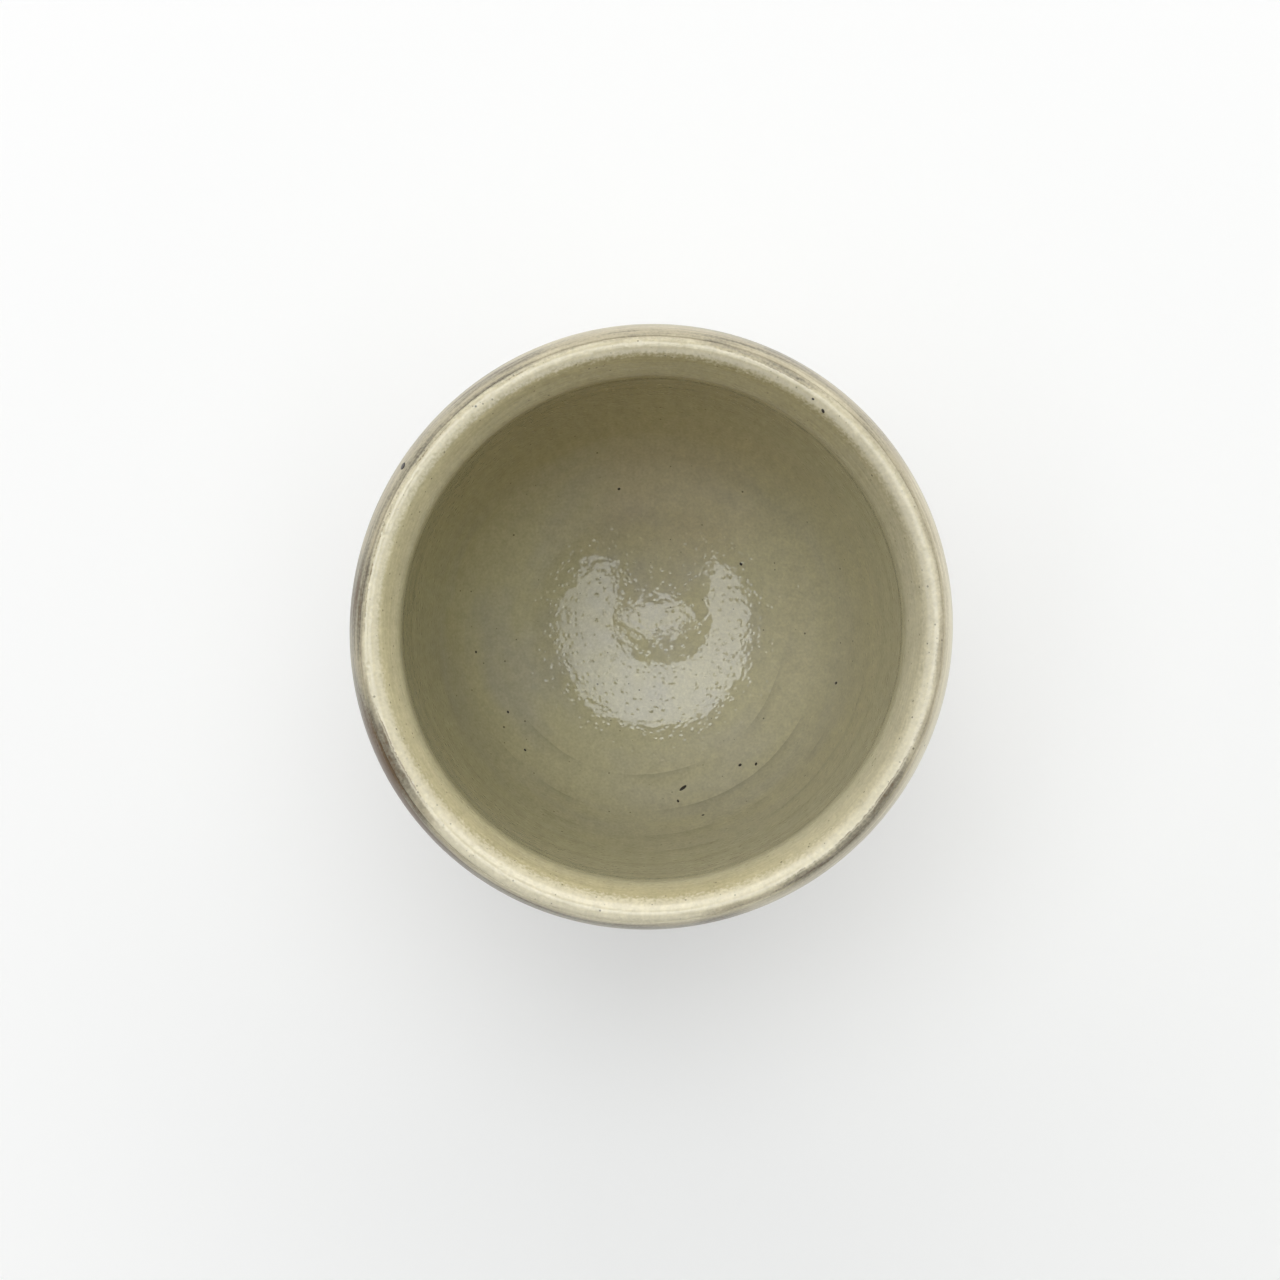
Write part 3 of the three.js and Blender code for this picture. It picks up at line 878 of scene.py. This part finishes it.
class YUNOMI_OT_stage(bpy.types.Operator):
    """Set the floor, the light panels and the camera above the cup"""

    bl_idname = "yunomi.stage"
    bl_label = "Stage"

    def execute(self, context):
        scene = context.scene
        stage = scene.yunomi_stage
        self.make_floor(scene, stage)
        self.make_panels(scene, stage)
        self.make_window(scene, stage)
        self.make_room(scene, stage)
        self.make_camera(scene, stage)
        scene.view_settings.view_transform = "Standard"
        return {"FINISHED"}

    def place_sheet(self, scene, sheet, name, material):
        """Makes a stage object of a flat sheet."""
        mesh = bpy.data.meshes.new(name)
        sheet.to_mesh(mesh)
        sheet.free()
        mesh.materials.append(material)
        placed = bpy.data.objects.new(name, mesh)
        scene.collection.objects.link(placed)
        return placed

    def seen_share(self, add, low, high):
        """A low value for light that is only cast, and a high one for what the lens sees or sees mirrored."""
        rays = add("ShaderNodeLightPath").outputs
        seen = add("ShaderNodeMath", {
            0: rays["Is Camera Ray"], 1: rays["Is Glossy Ray"],
        }, operation="MAXIMUM").outputs[0]
        through = rays["Is Transmission Ray"]
        seen = add("ShaderNodeMath", {0: seen, 1: through}, operation="MAXIMUM").outputs[0]
        return add("ShaderNodeMapRange", {"Value": seen, "To Min": low, "To Max": high}).outputs[0]

    def make_floor(self, scene, stage):
        """White paper, lifted to plain white away from the cup's shadow."""
        sheet = bmesh.new()
        bmesh.ops.create_grid(sheet, x_segments=2, y_segments=2, size=stage.floor_size / 2)
        material, add, link, shader = new_material("white_paper")
        shader["Base Color"].default_value = (*stage.floor_colour, 1)
        shader["Roughness"].default_value = 0.9
        shader["Specular IOR Level"].default_value = 0
        nodes = material.node_tree.nodes
        white = add("ShaderNodeEmission").outputs[0]
        place = add("ShaderNodeTexCoord").outputs["Object"]
        shaded = (0.05, -0.09, 0)
        shade_reach = 0.06
        white_reach = 0.36
        away = add("ShaderNodeVectorMath", {0: place, 1: shaded}, operation="DISTANCE").outputs["Value"]
        lift = add("ShaderNodeMapRange", {
            "Value": away, "From Min": shade_reach, "From Max": white_reach,
            "To Min": stage.floor_lift, "To Max": 1,
        }).outputs[0]
        share = self.seen_share(add, 0, lift)
        paper = nodes["Principled BSDF"].outputs[0]
        mixed = add("ShaderNodeMixShader", {0: share, 1: paper, 2: white}).outputs[0]
        link(mixed, nodes["Material Output"].inputs["Surface"])
        self.place_sheet(scene, sheet, "floor", material)

    def make_panels(self, scene, stage):
        """Overhead panels, dimmer at one end and one side, with a black card over them."""
        half_length = 0.45
        near_share = 0.8
        far_share = 1.05
        fade_start = 0.15
        fade_end = 0.58
        faded_share = 0.6
        card_gap = 0.06
        card_radius = 1
        material, add, link, shader = new_material("light_panel")
        shader["Base Color"].default_value = (0, 0, 0, 1)
        shader["Emission Color"].default_value = (*stage.panel_colour, 1)
        place = add("ShaderNodeSeparateXYZ", {0: add("ShaderNodeTexCoord").outputs["Object"]}).outputs
        along = add("ShaderNodeMapRange", {
            "Value": place["Y"], "From Min": -half_length, "From Max": half_length,
            "To Min": near_share * stage.panel_light, "To Max": far_share * stage.panel_light,
        }).outputs[0]
        across = add("ShaderNodeMapRange", {
            "Value": place["X"], "From Min": fade_start, "From Max": fade_end,
            "To Min": 1, "To Max": faded_share,
        }).outputs[0]
        strength = add("ShaderNodeMath", {0: along, 1: across}, operation="MULTIPLY").outputs[0]
        link(strength, shader["Emission Strength"])
        for name, points in (("ring_panel", self.ring_outline()), ("small_panel", self.small_outline())):
            sheet = bmesh.new()
            corners = [sheet.verts.new((*self.mirrored(point), stage.panel_height)) for point in points]
            face = sheet.faces.new(corners)
            face.normal_update()
            if face.normal.z > 0:
                face.normal_flip()
            panel = self.place_sheet(scene, sheet, name, material)
            panel.visible_camera = False
        card, _, _, dull = new_material("black_card")
        dull["Base Color"].default_value = (0.01, 0.01, 0.01, 1)
        dull["Roughness"].default_value = 1
        dull["Specular IOR Level"].default_value = 0
        sheet = bmesh.new()
        above = Matrix.Translation((0, 0, stage.panel_height + card_gap))
        bmesh.ops.create_circle(sheet, cap_ends=True, segments=64, radius=card_radius, matrix=above)
        ceiling = self.place_sheet(scene, sheet, "ceiling_card", card)
        ceiling.visible_camera = False

    def mirrored(self, point):
        """Where above the cup a light stands that shows at a place in the photograph, on the glossy floor."""
        across = (PHOTO_FLOOR[0] - point[0]) * MIRROR_METRES_PER_PIXEL
        along = (point[1] - PHOTO_FLOOR[1]) * MIRROR_METRES_PER_PIXEL
        return across, along

    def ring_outline(self):
        """A round panel with a slot from its middle out to one side, as its mirror image shows it."""
        middle = Vector((656, 632))
        reach = 99
        start = math.radians(-49)
        sweep = math.radians(278)
        steps = 48
        points = []
        for i in range(steps + 1):
            angle = start + sweep * i / steps
            points.append(middle + reach * Vector((math.cos(angle), math.sin(angle))))
        slot_middle = Vector((662, 618))
        slot = 47
        slot_steps = 16
        points.append(Vector((slot_middle.x - slot, points[-1].y)))
        for i in range(slot_steps + 1):
            angle = math.pi - math.pi * i / slot_steps
            points.append(slot_middle + slot * Vector((math.cos(angle), math.sin(angle))))
        points.append(Vector((slot_middle.x + slot, points[0].y)))
        return points

    def small_outline(self):
        """A small long panel inside the slot."""
        middle = Vector((656, 620))
        half_length = 33
        half_width = 18
        steps = 24
        points = []
        for i in range(steps):
            angle = math.tau * i / steps
            points.append(middle + Vector((half_length * math.cos(angle), half_width * math.sin(angle))))
        return points

    def make_window(self, scene, stage):
        """A wide soft light at the far side."""
        lamp = bpy.data.lights.new("window", "AREA")
        lamp.shape = "RECTANGLE"
        lamp.size = stage.window_width
        lamp.size_y = stage.window_height
        lamp.energy = stage.window_light * math.pi * lamp.size * lamp.size_y
        lamp.color = stage.window_colour
        window = bpy.data.objects.new("window", lamp)
        window.location = stage.window_place
        facing = Vector(stage.window_aim) - window.location
        window.rotation_euler = facing.to_track_quat("-Z", "Y").to_euler()
        window.visible_camera = False
        scene.collection.objects.link(window)

    def make_room(self, scene, stage):
        """A white room as it is seen, that casts most of its light from low at the far side."""
        world = bpy.data.worlds.new("room")
        world.use_nodes = True
        scene.world = world
        tree = world.node_tree
        back = tree.nodes["Background"]
        add = partial(add_node, tree)
        heading = add("ShaderNodeTexCoord").outputs["Generated"]
        bright = (0.12, 0.22, -0.5)
        dullest = -0.6
        brightest = 0.4
        toward = add("ShaderNodeVectorMath", {
            0: heading, 1: bright,
        }, operation="DOT_PRODUCT").outputs["Value"]
        light = add("ShaderNodeMapRange", {
            "Value": toward, "From Min": dullest, "From Max": brightest,
            "To Min": stage.room_shade, "To Max": stage.room_light,
        }).outputs[0]
        tree.links.new(self.seen_share(add, light, 1), back.inputs["Strength"])
        back.inputs["Color"].default_value = (1, 1, 1, 1)

    def make_camera(self, scene, stage):
        """A camera straight above, with the photograph's frame."""
        lens = bpy.data.cameras.new("camera")
        lens.sensor_width = 36
        lens.lens = lens.sensor_width * stage.camera_distance / (PIXEL * PHOTO_SIZE)
        lens.clip_start = 0.01
        camera = bpy.data.objects.new("camera", lens)
        camera.location = lens_place(stage)
        scene.collection.objects.link(camera)
        scene.camera = camera


class YUNOMI_PT_cup(bpy.types.Panel):
    """Buttons that make the cup's pieces, and the sizes and colours that they take"""

    bl_idname = "YUNOMI_PT_cup"
    bl_label = "Yunomi"
    bl_space_type = "VIEW_3D"
    bl_region_type = "UI"
    bl_category = "Yunomi"

    def draw(self, context):
        layout = self.layout
        for operator in OPERATORS:
            layout.operator(operator.bl_idname)
        for group in (context.scene.yunomi_shape, context.scene.yunomi_finish, context.scene.yunomi_stage):
            box = layout.box()
            for name in group.__annotations__:
                box.prop(group, name)


OPERATORS = (
    YUNOMI_OT_stoneware,
    YUNOMI_OT_slip,
    YUNOMI_OT_liner_glaze,
    YUNOMI_OT_outer_glaze,
    YUNOMI_OT_iron_grains,
    YUNOMI_OT_stage,
)
CLASSES = (YunomiShape, YunomiFinish, YunomiStage, *OPERATORS, YUNOMI_PT_cup)


def register():
    for cls in CLASSES:
        bpy.utils.register_class(cls)
    bpy.types.Scene.yunomi_shape = PointerProperty(type=YunomiShape)
    bpy.types.Scene.yunomi_finish = PointerProperty(type=YunomiFinish)
    bpy.types.Scene.yunomi_stage = PointerProperty(type=YunomiStage)


def unregister():
    del bpy.types.Scene.yunomi_stage
    del bpy.types.Scene.yunomi_finish
    del bpy.types.Scene.yunomi_shape
    for cls in reversed(CLASSES):
        bpy.utils.unregister_class(cls)


def main():
    register()
    bpy.ops.yunomi.stoneware()
    bpy.ops.yunomi.slip()
    bpy.ops.yunomi.liner_glaze()
    bpy.ops.yunomi.outer_glaze()
    bpy.ops.yunomi.iron_grains()
    bpy.ops.yunomi.stage()


if __name__ == "__main__":
    main()
